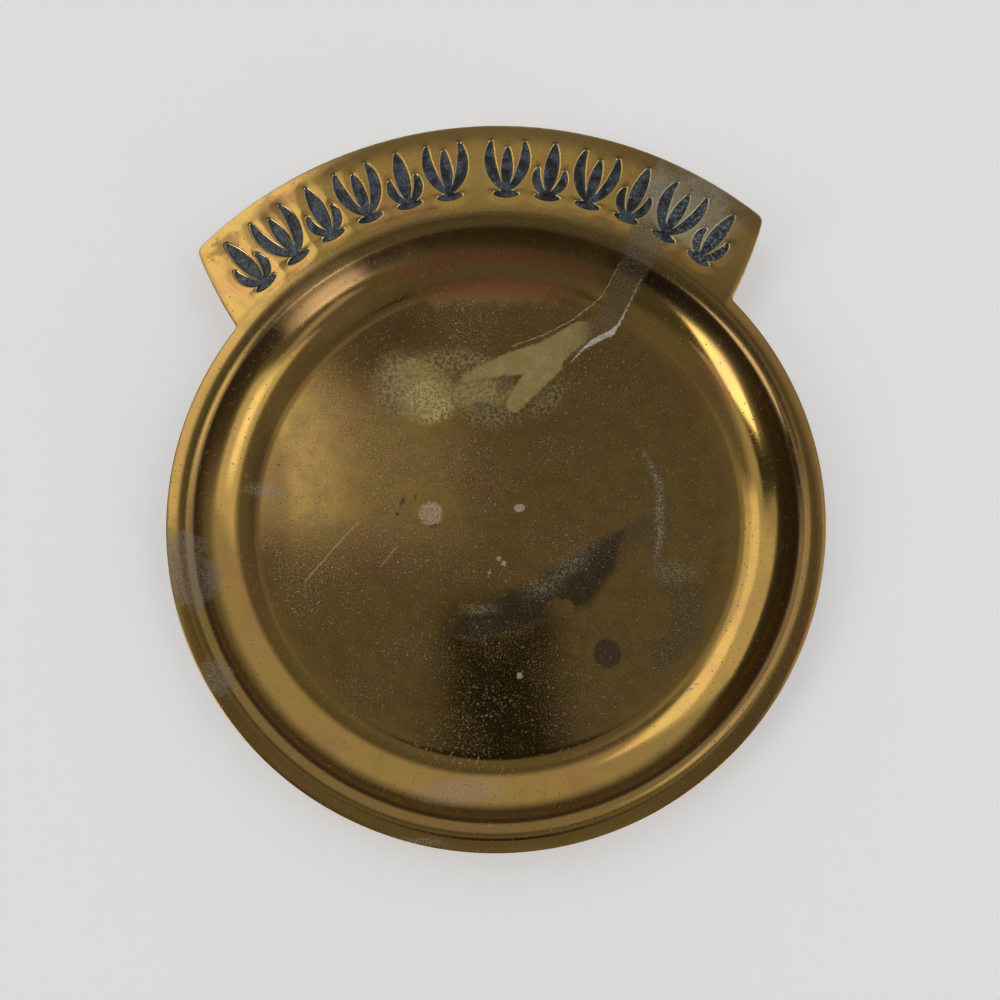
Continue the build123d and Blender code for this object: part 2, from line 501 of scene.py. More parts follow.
def leaf_distance(points, root, tip, bow, half_width):
    """How far points lie outside the leaf between two arcs from root to tip."""
    chord = tip - root
    length = np.linalg.norm(chord)
    along = chord / length
    across = np.array([along[1], -along[0]])
    sides = []
    for height, side in ((bow + half_width, 1), (bow - half_width, -1)):
        height = height if abs(height) > 1e-4 else 1e-4
        radius = (length**2 / 4 + height**2) / (2 * abs(height))
        centre = (root + tip) / 2 + across * (height - math.copysign(radius, height))
        bulge = side * math.copysign(1, height)
        sides.append(bulge * (np.linalg.norm(points - centre, axis=-1) - radius))
    return np.maximum(*sides)


def mark_distance(points, leaves):
    """How far points lie outside a whole upright mark about its own centre."""
    foot_half_width = mark_width * foot_half_width_share
    foot_level = foot_half_width - mark_height / 2
    foot_end = np.array([mark_width * foot_length_share / 2, foot_level])
    distance = leaf_distance(points, foot_end * (-1, 1), foot_end, 0, foot_half_width)
    root = np.array([0, foot_level + foot_half_width * root_share])
    rise = mark_height / 2 - root[1]
    for out, up_share, bow_share, half_width_share in leaves:
        for side in (-1, 1):
            tip = root + np.array([side * out * mark_width / 2, up_share * rise])
            bow = side * bow_share * np.linalg.norm(tip - root)
            leaf = leaf_distance(points, root, tip, bow, half_width_share * mark_width)
            distance = np.minimum(distance, leaf)
    return distance


def mark_patch(leaves, grow, pitch=patch_pitch):
    """Points and squares that fill a mark whose outline is moved out by grow."""
    x = np.arange(-mark_width * reach_across, mark_width * reach_across + pitch, pitch)
    y = np.arange(-mark_height * reach_up, mark_height * reach_up + pitch, pitch)
    grid = np.stack(np.meshgrid(x, y), -1)
    middles = (grid[:-1, :-1] + grid[1:, 1:]) / 2
    rows, columns = np.nonzero(mark_distance(middles, leaves) < grow)
    width = len(x)
    corner = rows * width + columns
    quads = np.stack([corner, corner + 1, corner + width + 1, corner + width], 1)
    used, quads = np.unique(quads, return_inverse=True)
    quads = quads.reshape(-1, 4)
    points = grid.reshape(-1, 2)[used]
    pairs = np.concatenate([quads[:, [i, (i + 1) % 4]] for i in range(4)])
    ends = np.sort(pairs, 1)
    _, index, counts = np.unique(ends, axis=0, return_index=True, return_counts=True)
    border = pairs[index[counts == 1]]
    rim = np.unique(border)
    for _ in range(4):
        here = mark_distance(points[rim], leaves) - grow
        step = 1e-3
        moved = [mark_distance(points[rim] + d, leaves) - grow - here for d in np.eye(2) * step]
        slope = np.stack(moved, 1) / step
        slope /= np.maximum(np.linalg.norm(slope, axis=1), 0.5)[:, None]
        points[rim] -= slope * np.clip(here, -pitch, pitch)[:, None]
    return points, quads, border


for leaves in (lotus_leaves, bud_leaves):
    points, quads, border = mark_patch(leaves, 0)
    print("mark patch:", len(points), "points,", len(quads), "squares")


# %% [markdown]
# Twelve marks stand along the band's arc, lotus and bud by turns. Geometry Nodes set them out: a
# point for each mark, moved to its place on the arc and turned to stand square on it, with a wider
# gap in the middle. The same tree sets out the punch's faces and the enamel.

# %% Row of marks
class Tree:
    """A Geometry Nodes tree with named inputs, such as {"Float": ["Depth", "Draw"]}."""

    def __init__(self, name, inputs):
        self.group = bpy.data.node_groups.new(name, "GeometryNodeTree")
        face = self.group.interface
        face.new_socket("Geometry", in_out="OUTPUT", socket_type="NodeSocketGeometry")
        for kind, titles in {"Geometry": ["Geometry"], **inputs, "Material": ["Material"]}.items():
            for title in titles:
                face.new_socket(title, in_out="INPUT", socket_type="NodeSocket" + kind)
        self.pen = Wire(self.group)
        self.start = self.group.nodes.new("NodeGroupInput")

    def value(self, title):
        return Wire(self.group, self.start.outputs[title])

    def mesh_of(self, title):
        """The mesh of the object that a named input holds."""
        values, settings = {"Object": self.value(title)}, {"transform_space": "ORIGINAL"}
        return self.pen.node("GeometryNodeObjectInfo", values, settings, "Geometry")

    def stored(self, name):
        """A number that the mesh keeps for each of its points."""
        kind = "GeometryNodeInputNamedAttribute"
        return self.pen.node(kind, {"Name": name}, {"data_type": "FLOAT"})

    def end(self, geometry):
        whole = self.pen.node("GeometryNodeRealizeInstances", {0: geometry})
        values = {"Geometry": whole, "Material": self.value("Material")}
        coloured = self.pen.node("GeometryNodeSetMaterial", values)
        self.pen.node("NodeGroupOutput", {0: coloured})

    def apply(self, made, **values):
        """Runs the tree on an object and makes the result its plain mesh."""
        modifier = made.modifiers.new(self.group.name, "NODES")
        modifier.node_group = self.group
        for item in self.group.interface.items_tree:
            title = item.name.replace(" ", "_").lower()
            if item.in_out == "INPUT" and title in values:
                modifier[item.identifier] = values[title]
        bpy.context.view_layer.update()
        ready = made.evaluated_get(bpy.context.evaluated_depsgraph_get())
        result = bpy.data.meshes.new_from_object(ready)
        made.modifiers.clear()
        made.data = result
        return made


row = Tree("row_of_marks", {
    "Object": ["Lotus", "Bud"], "Int": ["Count"],
    "Float": ["Pitch", "Middle Gap", "Arc Radius", "Level"],
})
pen = row.pen
number = pen.node("GeometryNodeInputIndex") - (row.value("Count") - 1) / 2
side = pen.math("SIGN", number)
angle = number * row.value("Pitch") + side * (row.value("Middle Gap") - row.value("Pitch")) / 2
place = pen.node("ShaderNodeCombineXYZ", {
    0: pen.math("SINE", angle) * row.value("Arc Radius"),
    1: pen.math("COSINE", angle) * row.value("Arc Radius"),
    2: row.value("Level"),
})
points = pen.node("GeometryNodePoints", {"Count": row.value("Count"), "Position": place})
turn = pen.node("ShaderNodeCombineXYZ", {2: 0 - angle})
is_bud = pen.math("MODULO", pen.math("ABSOLUTE", number) - 0.5, 2.0)


def stood(shape, chosen):
    """A copy of the shape on each chosen point."""
    values = {"Points": points, "Selection": chosen, "Instance": shape, "Rotation": turn}
    return pen.node("GeometryNodeInstanceOnPoints", values)


flowers = stood(row.mesh_of("Lotus"), pen.math("LESS_THAN", is_bud, 0.5))
buds = stood(row.mesh_of("Bud"), pen.math("GREATER_THAN", is_bud, 0.5))
both = pen.node("GeometryNodeJoinGeometry", {0: flowers})
pen.tree.links.new(buds.socket, both.socket.node.inputs[0])
row.end(both)


def row_of_marks(name, lotus, bud, level, material):
    holder = mesh_object(name, [], [])
    row.apply(
        holder, lotus=lotus, bud=bud, count=2 * marks_per_side, pitch=math.radians(mark_pitch),
        middle_gap=math.radians(middle_gap_angle), arc_radius=mark_radius * MM, level=level * MM,
        material=material,
    )
    for helper in (lotus, bud):
        bpy.data.objects.remove(helper)
    return holder


punch_shrink = 0.18
shapes = []
for name, leaves in (("lotus_punch", lotus_leaves), ("bud_punch", bud_leaves)):
    flat, quads, border = mark_patch(leaves, -punch_shrink)
    shapes.append(mesh_object(name, [(x, y, 0) for x, y in flat], quads.tolist()))
punches = row_of_marks("punch_faces", *shapes, 0.0, None)
print("punch faces:", len(punches.data.polygons))

# %% [markdown]
# The press lifts the flat blank onto the die. The rule is that the height at a radius is the sum of
# what each bend has climbed by then. A point below the top face lies on a parallel curve, whose
# bends are wider or tighter by its depth in the sheet. The edge rolls down a little, as a cut edge
# does, and a slight wave only ever takes the surface down, so the tray stays inside its box.

# %% Press
highest_noise = 0.75
press = Tree("press", {"Float": [
    "Sheet", "Floor Radius", "Cove Radius", "Wall Run", "Crease Centre", "Crease Radius",
    "Flange Start", "Shoulder Radius", "Edge Roll", "Roll Width", "Unevenness",
]})
pen = press.pen
place = pen.node("GeometryNodeInputPosition")
apart = pen.node("ShaderNodeSeparateXYZ", {0: place})
x, y = apart, Wire(pen.tree, apart.socket.node.outputs[1])
radius = (x * x + y * y) ** 0.5
drop = press.stored("drop")
edge = press.stored("edge")
steep = sine(wall_slope), cosine(wall_slope)
gentle = sine(shoulder_slope), cosine(shoulder_slope)
cove = press.value("Cove Radius") + drop
run = (radius - press.value("Floor Radius")).clamp(0.0, cove * steep[0])
climb = cove - (cove * cove - run * run) ** 0.5
run = (radius - press.value("Floor Radius") - cove * steep[0]).clamp(0.0, press.value("Wall Run"))
climb = climb + run * (steep[0] / steep[1])
crease = press.value("Crease Radius") + press.value("Sheet") - drop
run = (press.value("Crease Centre") - radius).clamp(crease * gentle[0], crease * steep[0])
climb = climb + (crease * crease - run * run) ** 0.5 - crease * steep[1]
shoulder = press.value("Shoulder Radius") + press.value("Sheet") - drop
run = (press.value("Flange Start") - radius).clamp(0.0, shoulder * gentle[0])
climb = climb + (shoulder * shoulder - run * run) ** 0.5 - shoulder * gentle[1]
roll = (1 - edge / press.value("Roll Width")).clamp()
bumpy = {"Vector": place, "Scale": 55.0, "Detail": 1.0}
wave = pen.node("ShaderNodeTexNoise", bumpy, {"noise_dimensions": "3D"}) - highest_noise
wave = wave * press.value("Unevenness") * (1 - drop / press.value("Sheet"))
height = press.value("Sheet") - drop + climb - roll * roll * press.value("Edge Roll") + wave
lifted = pen.node("ShaderNodeCombineXYZ", {0: x, 1: y, 2: height})
values = {"Geometry": press.value("Geometry"), "Position": lifted}
pressed = pen.node("GeometryNodeSetPosition", values)
press.end(pressed)

# %% [markdown]
# The punch sinks the marks. Each point of the band measures its distance to the punch's faces in
# the plan: under them the sheet goes down to the recess's floor, next to them it rises over a soft
# shoulder, and further out the metal has been drawn down a little too. The back of the sheet
# bulges where the front is sunk.

# %% Punch
punch = Tree("punch", {
    "Object": ["Punches"],
    "Float": ["Depth", "Shoulder", "Draw", "Draw Width", "Pad", "Pad Margin", "Sheet"],
})
pen = punch.pen
place = pen.node("GeometryNodeInputPosition")
drop = punch.stored("drop")
flat = pen.vector("MULTIPLY", place, (1, 1, 0))
values = {0: punch.mesh_of("Punches"), "Sample Position": flat}
away = pen.node("GeometryNodeProximity", values, {"target_element": "FACES"}, "Distance")
sunk = (1 - away.ramp(0.0, punch.value("Shoulder"))) * punch.value("Depth")
drawn = (1 - away.ramp(0.0, punch.value("Draw Width"))) * punch.value("Draw")
off_pad = away - punch.value("Pad Margin")
bulge = (1 - off_pad.ramp(0.0, punch.value("Shoulder") * 2)) * punch.value("Pad")
front = 1 - (drop / punch.value("Sheet")).clamp()
down = front * (sunk + drawn) + (1 - front) * bulge
move = pen.node("ShaderNodeCombineXYZ", {2: 0 - down})
punched = pen.node("GeometryNodeSetPosition", {"Geometry": punch.value("Geometry"), "Offset": move})
punch.end(punched)

# %% [markdown]
# Patterns on the metal are laid out in the plan, in millimetres. A few helpers draw them: cloudy
# noise, soft ovals, strokes along a path, and short dashes. Ragged edges come from pushing the plan
# about with noise before a shape is drawn on it.

# %% Pattern helpers
class Pattern(Wire):
    """Masks and noise over the tray, on Object coordinates in millimetres."""

    def __init__(self, material):
        super().__init__(material.node_tree)
        here = self.node("ShaderNodeTexCoord", out="Object")
        self.place = self.scaled(here, 1 / MM)
        self.flat = self.vector("MULTIPLY", self.place, (1, 1, 0))
        self.radius = self.vector("LENGTH", self.flat, out=1)
        self.bearing = self.vector("NORMALIZE", self.flat)

    def scaled(self, vector, factor):
        values = {0: vector, "Scale": factor}
        return self.node("ShaderNodeVectorMath", values, {"operation": "SCALE"})

    def noise(self, vector, scale, detail=2.0, rough=0.5, out=0, dimensions="2D"):
        values = {"Vector": vector, "Scale": scale, "Detail": detail, "Roughness": rough}
        return self.node("ShaderNodeTexNoise", values, {"noise_dimensions": dimensions}, out)

    def push(self, across, up):
        """A push in the plan from two noises, up to half a millimetre each way."""
        return self.node("ShaderNodeCombineXYZ", {0: across - 0.5, 1: up - 0.5})

    def pushed(self, push, amount):
        return self.vector("ADD", self.flat, self.vector("MULTIPLY", push, (amount, amount, 0)))

    def oval(self, plan, across, up, half_width, half_height, turn=0.0, soft=0.2):
        """1 inside an oval of the plan and 0 outside, with a soft edge as a share of its size."""
        if not turn:
            shrink = (1 / half_width, 1 / half_height, 0)
            shift = (-across / half_width, -up / half_height, 0)
            own = self.vector("MULTIPLY_ADD", plan, shrink, shift)
        else:
            c, s = math.cos(math.radians(turn)), math.sin(math.radians(turn))
            off = self.vector("SUBTRACT", plan, (across, up, 0))
            u = self.vector("DOT_PRODUCT", off, (c / half_width, s / half_width, 0), out=1)
            v = self.vector("DOT_PRODUCT", off, (-s / half_height, c / half_height, 0), out=1)
            own = self.node("ShaderNodeCombineXYZ", {0: u, 1: v})
        return self.vector("LENGTH", own, out=1).ramp(1 + soft, 1 - soft)

    def ovals(self, plan, rows):
        whole = None
        for row in rows:
            one = self.oval(plan, *row)
            whole = one if whole is None else self.math("MAXIMUM", whole, one)
        return whole

    def stroke(self, plan, points, half_width=None):
        """How far outside a stroke along points, each with its half width, or one for them all."""
        nearest = None
        for a, b in zip(points, points[1:]):
            run = Vector((b[0] - a[0], b[1] - a[1], 0))
            off = self.vector("SUBTRACT", plan, (a[0], a[1], 0))
            share = tuple(run / run.length_squared)
            along = self.vector("DOT_PRODUCT", off, share, out=1).clamp()
            gap = self.vector("DISTANCE", off, self.scaled(tuple(run), along), out=1)
            if half_width is None:
                gap = gap - self.math("MULTIPLY_ADD", along, b[2] - a[2], a[2])
            nearest = gap if nearest is None else self.math("MINIMUM", nearest, gap)
        return nearest if half_width is None else nearest - half_width

    def marks(self, plan, turn, long_cell, short_cell, size, share):
        """Short dashes or specks: one in some of the cells of a stretched net."""
        cell = {"Rotation": (0, 0, math.radians(turn)), "Scale": (long_cell, short_cell, 1)}
        own = self.node("ShaderNodeMapping", {"Vector": plan, **cell}, {"vector_type": "TEXTURE"})
        values = {"Vector": own, "Scale": 1.0}
        cells = self.node("ShaderNodeTexVoronoi", values, {"voronoi_dimensions": "2D"})
        drawn = cells.ramp(size, size * 0.5)
        own_colour = Wire(self.tree, cells.socket.node.outputs["Color"])
        chance = self.node("ShaderNodeSeparateColor", {0: own_colour})
        return drawn * self.math("LESS_THAN", chance, share)

    def ring(self, start, inner, outer, end):
        """1 from the inner to the outer radius, and 0 up to the start and from the end on."""
        return self.radius.ramp(start, inner) * self.radius.ramp(end, outer)

    def blend(self, share, first, second):
        """From the first colour to the second; a plain colour is three numbers."""
        first, second = (one if isinstance(one, Wire) else (*one, 1.0) for one in (first, second))
        values = {0: share, 6: first, 7: second}
        return self.node("ShaderNodeMix", values, {"data_type": "RGBA"}, 2)

    def finish(self, colour, metal, rough, height, reach):
        """The shader: the height is in units of reach, in metres."""
        bump = self.node("ShaderNodeBump", {"Strength": 1.0, "Distance": reach, "Height": height})
        values = {"Base Color": colour, "Metallic": metal, "Roughness": rough, "Normal": bump}
        self.node("ShaderNodeOutputMaterial", {0: self.node("ShaderNodeBsdfPrincipled", values)})


# %% [markdown]
# Brass is a yellow metal that browns with age. On the real tray the floor has gone brown and a bit
# cloudy, the crease is dark with grime and painted shade, and a spilt drop has etched a pale
# greenish patch that runs up to the band in a channel with limy edges. There are dark clouds and
# spots, grey stains on the rim, limescale specks and fine scratches. Each is a mask that blends its
# own colour, metal and roughness over the brass. A few masks paint light and shade instead: a
# darker crease, wall and shoulder, most on the right and far side, a window's reflection in the
# cove, dark reflections on the band and highlights on the recess lips.

# %% Aged brass
brass = plain_material("aged_brass")
pen = Pattern(brass)
facing = pen.node("ShaderNodeNewGeometry", out="Normal")
skyward = pen.node("ShaderNodeSeparateXYZ", {0: facing}, out=2).ramp(0.05, 0.3)
radius = pen.radius
across = pen.vector("DOT_PRODUCT", pen.flat, (1, 0, 0), out=1)
up = pen.vector("DOT_PRODUCT", pen.flat, (0, 1, 0), out=1)
cloud = pen.noise(pen.flat, 0.05, 3.0, 0.6)
mottle = pen.noise(pen.flat, 0.24, 4.0, 0.65)
crumbs = pen.noise(pen.flat, 1.15, 3.0, 0.7)
grain = pen.noise(pen.flat, 3.0, 2.0, 0.6)


def polished(turns, rings):
    """A place for brush marks: the larger the number, the shorter they are that way."""
    round_about = pen.scaled(pen.bearing, turns)
    return pen.vector("ADD", round_about, pen.node("ShaderNodeCombineXYZ", {2: radius * rings}))


along_ring, along_ray = polished(7.0, 3.2), polished(230.0, 0.12)
outside = pen.math("GREATER_THAN", radius, 57.0)
values = {0: outside, 4: along_ring, 5: along_ray}
along = pen.node("ShaderNodeMix", values, {"data_type": "VECTOR"}, 1)
lines = pen.noise(along, 1.0, 2.0, 0.7, dimensions="3D")
on_band = radius.ramp(69.5, 71.0)
on_floor = radius.ramp(53.5, 49.0) * skyward

bright, olive = (0.53, 0.325, 0.085), (0.40, 0.295, 0.08)
copper, brown = (0.50, 0.235, 0.10), (0.27, 0.15, 0.055)
colour = pen.blend(mottle.ramp(0.42, 0.70) * 0.45, bright, olive)


def lay(mask, tone, metal_level, rough_level, share=1.0):
    """Lays a finish over the brass where its mask says: a colour, and how metallic and rough."""
    global colour, finish
    mask = mask * share if isinstance(share, Wire) or share != 1.0 else mask
    colour = pen.blend(mask, colour, tone)
    finish = pen.blend(mask, finish, (metal_level, rough_level, 0.0))


def tint(mask, tone, share=1.0):
    """Changes the colour alone, where the metal is as smooth as elsewhere."""
    global colour
    mask = mask * share if isinstance(share, Wire) or share != 1.0 else mask
    colour = pen.blend(mask, colour, tone)


tint(cloud.ramp(0.50, 0.72), copper, 0.5)
tint(lines.ramp(0.45, 0.75), brown, 0.2)
tint(on_floor, brown, mottle.ramp(0.35, 0.65) * 0.16 + 0.26)
# Painted shade: a dark ring over the crease and shoulder, darker still on the right side.
tint(pen.ring(64.3, 64.8, 66.0, 66.8), (0.19, 0.11, 0.042), 0.5 + across.ramp(30.0, 55.0) * 0.45)
tint(radius.ramp(66.5, 68.0) * across.ramp(20.0, 50.0), brown, 0.6)
tint(pen.ring(66.5, 67.5, 70.0, 71.0) * across.ramp(-44.0, -58.0), brown, 0.4)
tint(pen.oval(pen.flat, -26.0, 42.0, 15.0, 8.0, 30, 0.7), brown, 0.7)
tint(pen.oval(pen.flat, -50.5, 4.0, 4.6, 17.0, 0, 0.4), brown, 0.75)
rough = 0.08 + mottle.ramp(0.4, 0.7) * 0.03 + lines.ramp(0.45, 0.7) * 0.04 - on_floor * 0.02
clean, clean_finish = colour, pen.node("ShaderNodeCombineColor", {0: 1.0, 1: rough, 2: 0.0})
finish = clean_finish

# %% Tints of the pressing
# The wall and the crease are darkened: partly grime, partly painted shade that grows towards the
# far side.
wall_grime_and_shade = pen.ring(60.8, 62.6, 64.1, 64.6)
lay(wall_grime_and_shade, (0.04, 0.026, 0.016), 0.95, 0.3, 0.62 + up.ramp(15.0, 55.0) * 0.34)
lay(pen.ring(63.7, 64.1, 64.4, 64.9), (0.08, 0.05, 0.03), 0.9, 0.4, 0.8)
# Painted shade: the shoulder is browned a little all round and much more on the far side.
shoulder_shade_ring = pen.ring(64.4, 65.0, 66.6, 69.2)
lay(shoulder_shade_ring, (0.28, 0.18, 0.063), 1.0, 0.3, 0.2 + up.ramp(35.0, 58.0) * 0.65)
ragged_push = pen.push(mottle, pen.noise(pen.flat, 0.33, 3.0))
fine_push = pen.push(crumbs, pen.noise(pen.flat, 1.1, 2.0))
ragged, jitter = pen.pushed(ragged_push, 2.4), pen.pushed(fine_push, 0.7)
wobbly = pen.pushed(ragged_push, 6.0)
red_arc = pen.ring(57.6, 59.0, 60.6, 62.0) + pen.ring(50.5, 52.5, 55.2, 56.6)
reddened = pen.oval(wobbly, 5.0, 62.0, 27.0, 17.0, -4, 0.35) * red_arc
lay(pen.oval(wobbly, 5.0, 57.5, 27.0, 8.5, 0, 0.3), (0.25, 0.155, 0.05), 1.0, 0.42, 0.85)
tint(reddened, (0.34, 0.13, 0.055), 0.65)
# Painted reflection: a pale warm patch at the upper left of the cove, where it mirrors a window.
tint(pen.oval(wobbly, -36, 50, 11, 6, 40, 0.3), (0.62, 0.37, 0.15), 0.55)
tint(radius.ramp(69.2, 69.9) * (1 - on_band) * cloud.ramp(0.4, 0.6), (0.30, 0.12, 0.05), 0.6)
tint(radius.ramp(83.0, 87.4) * across.ramp(-46.0, -32.0), (0.15, 0.095, 0.035), 0.75)
tint(radius.ramp(69.0, 71.0) * across.ramp(56.0, 64.0), (0.20, 0.125, 0.045), 0.5)

# %% Channel
left_line = [(31.6, 55.0), (27.4, 49.2), (20.6, 44.3), (13.6, 40.9), (6.0, 38.6)]
right_line = [
    (36.3, 51.6, 0.02), (34.0, 47.6, 0.06), (31.2, 42.8, 0.2), (29.2, 40.5, 0.7),
    (25.2, 38.8, 0.6), (22.0, 36.7, 0.2), (19.3, 33.9, 0.08),
]
run_off = [
    (20.0, 38.4, 2.6), (28.0, 42.8, 3.2), (31.7, 48.6, 3.0), (35.2, 55.0, 3.6), (42.0, 66.0, 5.6),
]
channel = pen.stroke(ragged, run_off)
lay(channel.ramp(0.4, -0.4), (0.17, 0.12, 0.065), 0.85, 0.35, 0.62)
film = channel.ramp(0.6, -1.0)
film_share = grain.ramp(0.44, 0.70) * (0.25 + radius.ramp(56.0, 64.0) * 0.45)
lay(film, (0.34, 0.28, 0.19), 0.4, 0.5, film_share)

# %% Etched patch
upper_lobe = [(22.3, 41.3, 2.6), (13.5, 35.6, 3.7), (5.5, 34.3, 2.9), (-5.0, 31.7, 1.0)]
lower_lobe = [(14.0, 34.2, 3.6), (5.6, 24.6, 1.9)]
smooth_patch = pen.math("MINIMUM", pen.stroke(jitter, upper_lobe), pen.stroke(jitter, lower_lobe))
rough_lobe = pen.ovals(ragged, [
    (-14.3, 27.6, 6.6, 6.6, 0, 0.32), (-17.5, 32.5, 4.6, 4.0, 20, 0.4),
    (-2.5, 27.8, 8.0, 3.4, 0, 0.45),
])
halo = pen.ovals(ragged, [
    (-20.6, 31.5, 5.0, 7.0, -14, 0.5), (-7.0, 35.6, 8.5, 3.0, -8, 0.5),
    (0.5, 22.4, 7.5, 3.0, -4, 0.5), (13.6, 25.4, 6.0, 2.8, 38, 0.5),
])
sandy = (grain + crumbs) * 0.5
flecks = pen.blend(sandy.ramp(0.47, 0.52), (0.56, 0.45, 0.20), (0.035, 0.024, 0.010))
lay(halo, flecks, 0.9, 0.4, 0.66)
lay(rough_lobe, (0.50, 0.40, 0.145), 0.7, 0.55, sandy.ramp(0.52, 0.47) * 0.6 + 0.34)
pale_core = pen.ovals(ragged, [(-15.2, 28.2, 3.6, 3.2, 0, 0.7), (-12.0, 24.6, 3.4, 2.6, 0, 0.7)])
lay(pale_core, (0.80, 0.66, 0.30), 0.4, 0.6, sandy.ramp(0.52, 0.47) * 0.75)
neck = across.ramp(26.5, 19.0)
etched = smooth_patch.ramp(0.35, -0.55)
etched_share = neck * (0.62 + sandy.ramp(0.54, 0.46) * 0.18 + mottle.ramp(0.4, 0.6) * 0.18)
lay(etched, (0.44, 0.355, 0.125), 0.72, 0.58, etched_share)
pale_middle = smooth_patch.ramp(0.0, -0.6)
middle_share = neck * mottle.ramp(0.44, 0.62) * grain.ramp(0.46, 0.62) * 0.45
lay(pale_middle, (0.66, 0.57, 0.26), 0.5, 0.6, middle_share)
dark_gap = pen.ovals(ragged, [(3.9, 29.4, 1.5, 2.8, -30, 0.35), (-1.6, 24.6, 2.2, 1.6, 0, 0.5)])
lay(dark_gap, (0.12, 0.09, 0.055), 0.8, 0.45, 0.5 + sandy.ramp(0.45, 0.55) * 0.35)
dark_hair = pen.stroke(jitter, [(20.7, 35.0), (23.5, 32.5), (25.8, 29.4)], 0.0)
lay(dark_hair.ramp(0.3, 0.08), (0.08, 0.06, 0.035), 0.9, 0.4, 0.8)

# %% Lime on the edges
limy = pen.noise(pen.flat, 0.6, 2.0, 0.7).ramp(0.36, 0.60)
lime = pen.stroke(jitter, right_line) + crumbs * 0.5 - 0.22
left_edge = pen.stroke(jitter, left_line, 0.0).ramp(0.2, 0.04)
lay(left_edge, (0.50, 0.42, 0.31), 0.3, 0.6, 0.4 + limy * 0.4)
lay(lime.ramp(0.14, -0.08), (0.80, 0.76, 0.70), 0.05, 0.65, limy * 0.4 + 0.5)

# %% Dark clouds
cloud_line = [
    (28.3, -5.8, 0.5), (22.5, -11.8, 4.2), (16.5, -17.0, 5.4), (9.5, -20.0, 4.6),
    (2.1, -22.6, 4.6), (-6.7, -25.0, 3.2), (-11.5, -25.6, 1.0),
]
dark_cloud = pen.stroke(ragged, cloud_line).ramp(1.1, -1.5)
dark_cloud = dark_cloud * (1 - pen.oval(ragged, 12.8, -22.4, 3.2, 2.7, 0, 0.12))
lay(dark_cloud, (0.036, 0.030, 0.026), 0.92, 0.3, 0.72 + sandy.ramp(0.46, 0.56) * 0.2)
lay(pen.oval(ragged, 31.5, -6.0, 6.0, 2.6, 24, 0.7), (0.12, 0.09, 0.075), 0.85, 0.35, 0.5)
bloom = pen.ovals(ragged, [
    (16.2, -12.6, 6.6, 1.9, 36, 0.9), (9.4, -17.0, 3.8, 2.0, 12, 0.8),
    (-4.2, -21.4, 3.6, 1.1, 0, 0.9),
])
lay(bloom, (0.50, 0.47, 0.27), 0.4, 0.5, 0.05 + sandy.ramp(0.48, 0.55) * 0.45)
crescent_line = [(37.0, -15.0, 2.2), (41.2, -21.5, 3.5), (39.8, -29.0, 3.4), (33.3, -34.9, 1.6)]
crescent = pen.stroke(ragged, crescent_line)
lay(crescent.ramp(1.2, -0.9), (0.12, 0.085, 0.05), 0.85, 0.35, 0.4 + sandy.ramp(0.42, 0.6) * 0.3)
lay(crescent.ramp(1.6, -1.5), (0.40, 0.34, 0.22), 0.4, 0.55, sandy.ramp(0.50, 0.58) * 0.2)

# %% Trail and spots
trail_line = [(34.0, 12.0, 0.1), (37.0, 4.5, 0.6), (36.2, -7.0, 0.8), (34.8, -12.7, 0.1)]
trail = pen.stroke(jitter, trail_line)
lay(trail.ramp(2.2, 0.2), (0.15, 0.11, 0.085), 0.85, 0.35, 0.4)
lay(trail.ramp(1.2, -0.8), (0.55, 0.49, 0.30), 0.4, 0.5, sandy.ramp(0.47, 0.54) * 0.55)
trail_end = pen.oval(ragged, 38.4, -15.4, 5.2, 2.8, -4, 0.5)
lay(trail_end, (0.38, 0.31, 0.17), 0.6, 0.45, 0.15 + sandy.ramp(0.46, 0.6) * 0.5)
lay(pen.oval(jitter, 22.6, -32.3, 3.0, 3.15, 0, 0.1), (0.075, 0.045, 0.042), 0.85, 0.35, 0.8)
pink_spot = pen.oval(jitter, -14.3, 0.4, 2.7, 2.7, 0, 0.2)
lay(pink_spot, (0.66, 0.46, 0.30), 0.35, 0.5, 0.45 + sandy.ramp(0.46, 0.54) * 0.45)
pale_dots = [
    (5.5, 0.6, 1.3, 0.85, 0, 0.15), (0.3, -10.5, 0.55, 0.5, 30, 0.2),
    (1.3, -11.6, 0.6, 0.55, 30, 0.2), (-2.0, -13.5, 0.4, 0.35, 0, 0.2),
    (3.4, -36.0, 0.6, 0.7, 0, 0.3),
]
lay(pen.ovals(jitter, pale_dots), (0.56, 0.47, 0.34), 0.3, 0.5, 0.85)
dark_dots = [
    (-20.6, 3.4, 0.5, 1.0, -25, 0.3), (-21.8, 0.7, 0.6, 0.35, 0, 0.3),
    (-17.6, 4.3, 0.25, 0.8, 0, 0.3), (-13.9, -2.4, 0.9, 0.35, 10, 0.3),
]
lay(pen.ovals(jitter, dark_dots), (0.07, 0.05, 0.03), 0.8, 0.5, 0.8)

